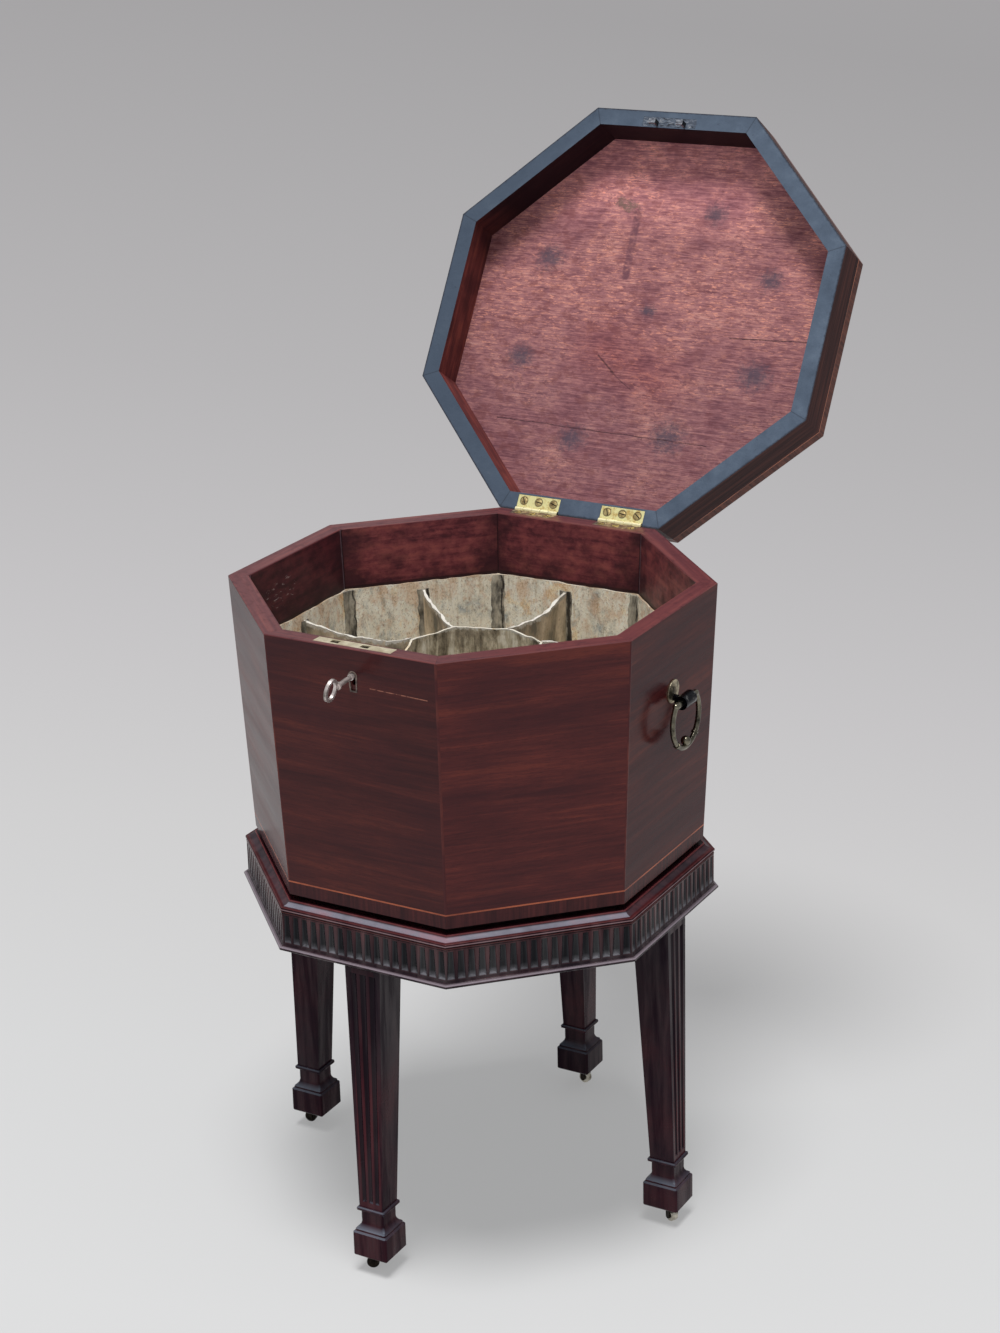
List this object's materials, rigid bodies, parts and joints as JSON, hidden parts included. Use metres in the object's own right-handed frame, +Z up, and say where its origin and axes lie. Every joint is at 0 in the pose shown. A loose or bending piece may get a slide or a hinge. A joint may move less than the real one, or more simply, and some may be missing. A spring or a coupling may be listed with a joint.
{
  "type": "wine cellarette",
  "caption": "Octagonal mahogany wine cellarette with a hinged lid, lead-lined bottle divisions, side ring handles and a low fluted stand on tapering legs with castors.",
  "frame": {"origin": "on the floor under the middle of the stand, where its four castors stand", "axes": "+Z up, -Y out of the front with the lock, +Y towards the hinges, +X towards the user's right, with the ring handles on +X and -X; the lid rests open"},
  "size_m": [0.492, 0.7962, 1.0697],
  "materials": {
    "stand_wood": "dark polished mahogany",
    "dark_wood": "dull dark stain",
    "veneer": "french polished mahogany, grain level",
    "lid_rim_wood": "slate blue paint on the rim, bare red-brown inside",
    "light_string": "polished boxwood",
    "old_lead": "chalky, stained and oxidised lead",
    "solder": "dark rough solder",
    "hinge_brass": "bright worn brass",
    "lock_brass": "pale rubbed brass",
    "aged_brass": "dark lacquered brass, rubbed on the edges",
    "castor_brass": "polished on the wheels, dark elsewhere",
    "steel": "grey, worn"
  },
  "bodies": {
    "stand": {"frieze_rails": "stand_wood", "stand_top_moulding": "stand_wood", "stand_bottom_bead": "stand_wood", "stand_seat_frame": "dark_wood", "stand_corner_blocks": "dark_wood", "leg_front": "stand_wood", "leg_right": "stand_wood", "leg_back": "stand_wood", "leg_left": "stand_wood", "castor_plates": "castor_brass", "castor_screws": "steel"},
    "box": {"panel_front": "veneer", "panel_front_right": "veneer", "panel_right": "veneer", "panel_back_right": "veneer", "panel_back": "veneer", "panel_back_left": "veneer", "panel_left": "veneer", "panel_front_left": "veneer", "base_board": "dark_wood", "base_stringing": "light_string", "corner_stringing": "light_string", "lead_lining": "old_lead", "lead_centre_cell": "old_lead", "lead_dividers": "old_lead", "solder_seams": "solder", "lock_case": "steel", "lock_plate": "lock_brass", "keyhole_escutcheon": "lock_brass", "handle_rose_right": "aged_brass", "handle_post_right": "aged_brass", "handle_rose_left": "aged_brass", "handle_post_left": "aged_brass", "hinge_lower_leaves": "hinge_brass", "hinge_pins": "hinge_brass", "hinge_lower_screws": "hinge_brass"},
    "lid": {"lid_frame": "lid_rim_wood", "lid_board": "veneer", "lid_stringing": "light_string", "lid_link_plate": "steel", "hinge_upper_leaves": "hinge_brass", "hinge_upper_screws": "hinge_brass"},
    "key": {"key": "steel"},
    "lock_bolt": {"lock_bolt": "steel"},
    "ring_right": {"handle_ring_right": "aged_brass"},
    "ring_left": {"handle_ring_left": "aged_brass"},
    "castor_fork_front": {"castor_fork_front": "castor_brass"},
    "castor_wheel_front": {"castor_wheel_front": "castor_brass"},
    "castor_fork_right": {"castor_fork_right": "castor_brass"},
    "castor_wheel_right": {"castor_wheel_right": "castor_brass"},
    "castor_fork_back": {"castor_fork_back": "castor_brass"},
    "castor_wheel_back": {"castor_wheel_back": "castor_brass"},
    "castor_fork_left": {"castor_fork_left": "castor_brass"},
    "castor_wheel_left": {"castor_wheel_left": "castor_brass"}
  },
  "joints": [
    {"name": "box_lift", "type": "slide", "parent": "stand", "child": "box", "axis": [0, 0, 1], "range_m": [0, 0.2]},
    {"name": "lid_hinge", "type": "hinge", "parent": "box", "child": "lid", "pos_m": [0, 0.2314, 0.67415], "axis": [1, 0, 0], "range_deg": [0, 121.4]},
    {"name": "key_turn", "type": "hinge", "parent": "box", "child": "key", "pos_m": [0.003, -0.22736, 0.6468], "axis": [0, 0.999, 0.0457], "range_deg": [-12, 156]},
    {"name": "bolt_slide", "type": "slide", "parent": "box", "child": "lock_bolt", "axis": [1, 0, 0], "range_m": [-0.00045, 0.0057]},
    {"name": "ring_swing_right", "type": "hinge", "parent": "box", "child": "ring_right", "pos_m": [0.239, 0, 0.58415], "axis": [0, -1, 0], "range_deg": [-12, 160]},
    {"name": "ring_swing_left", "type": "hinge", "parent": "box", "child": "ring_left", "pos_m": [-0.239, 0, 0.58415], "axis": [0, 1, 0], "range_deg": [-12, 160]},
    {"name": "castor_swivel_front", "type": "hinge", "parent": "stand", "child": "castor_fork_front", "pos_m": [0, -0.21875, 0.0145], "axis": [0, 0, 1], "continuous": true},
    {"name": "castor_spin_front", "type": "hinge", "parent": "castor_fork_front", "child": "castor_wheel_front", "pos_m": [-0.0068, -0.22192, 0.0065], "axis": [0.4226, -0.9063, 0], "continuous": true},
    {"name": "castor_swivel_right", "type": "hinge", "parent": "stand", "child": "castor_fork_right", "pos_m": [0.21875, 0, 0.0145], "axis": [0, 0, 1], "continuous": true},
    {"name": "castor_spin_right", "type": "hinge", "parent": "castor_fork_right", "child": "castor_wheel_right", "pos_m": [0.22525, -0.00375, 0.0065], "axis": [0.5, 0.866, 0], "continuous": true},
    {"name": "castor_swivel_back", "type": "hinge", "parent": "stand", "child": "castor_fork_back", "pos_m": [0, 0.21875, 0.0145], "axis": [0, 0, 1], "continuous": true},
    {"name": "castor_spin_back", "type": "hinge", "parent": "castor_fork_back", "child": "castor_wheel_back", "pos_m": [0.00739, 0.21745, 0.0065], "axis": [0.1736, 0.9848, 0], "continuous": true},
    {"name": "castor_swivel_left", "type": "hinge", "parent": "stand", "child": "castor_fork_left", "pos_m": [-0.21875, 0, 0.0145], "axis": [0, 0, 1], "continuous": true},
    {"name": "castor_spin_left", "type": "hinge", "parent": "castor_fork_left", "child": "castor_wheel_left", "pos_m": [-0.22614, -0.0013, 0.0065], "axis": [0.1736, -0.9848, 0], "continuous": true}
  ],
  "couplings": [
    {"joint": "bolt_slide", "follows": "key_turn", "m_per_rad": 0.00205}
  ]
}
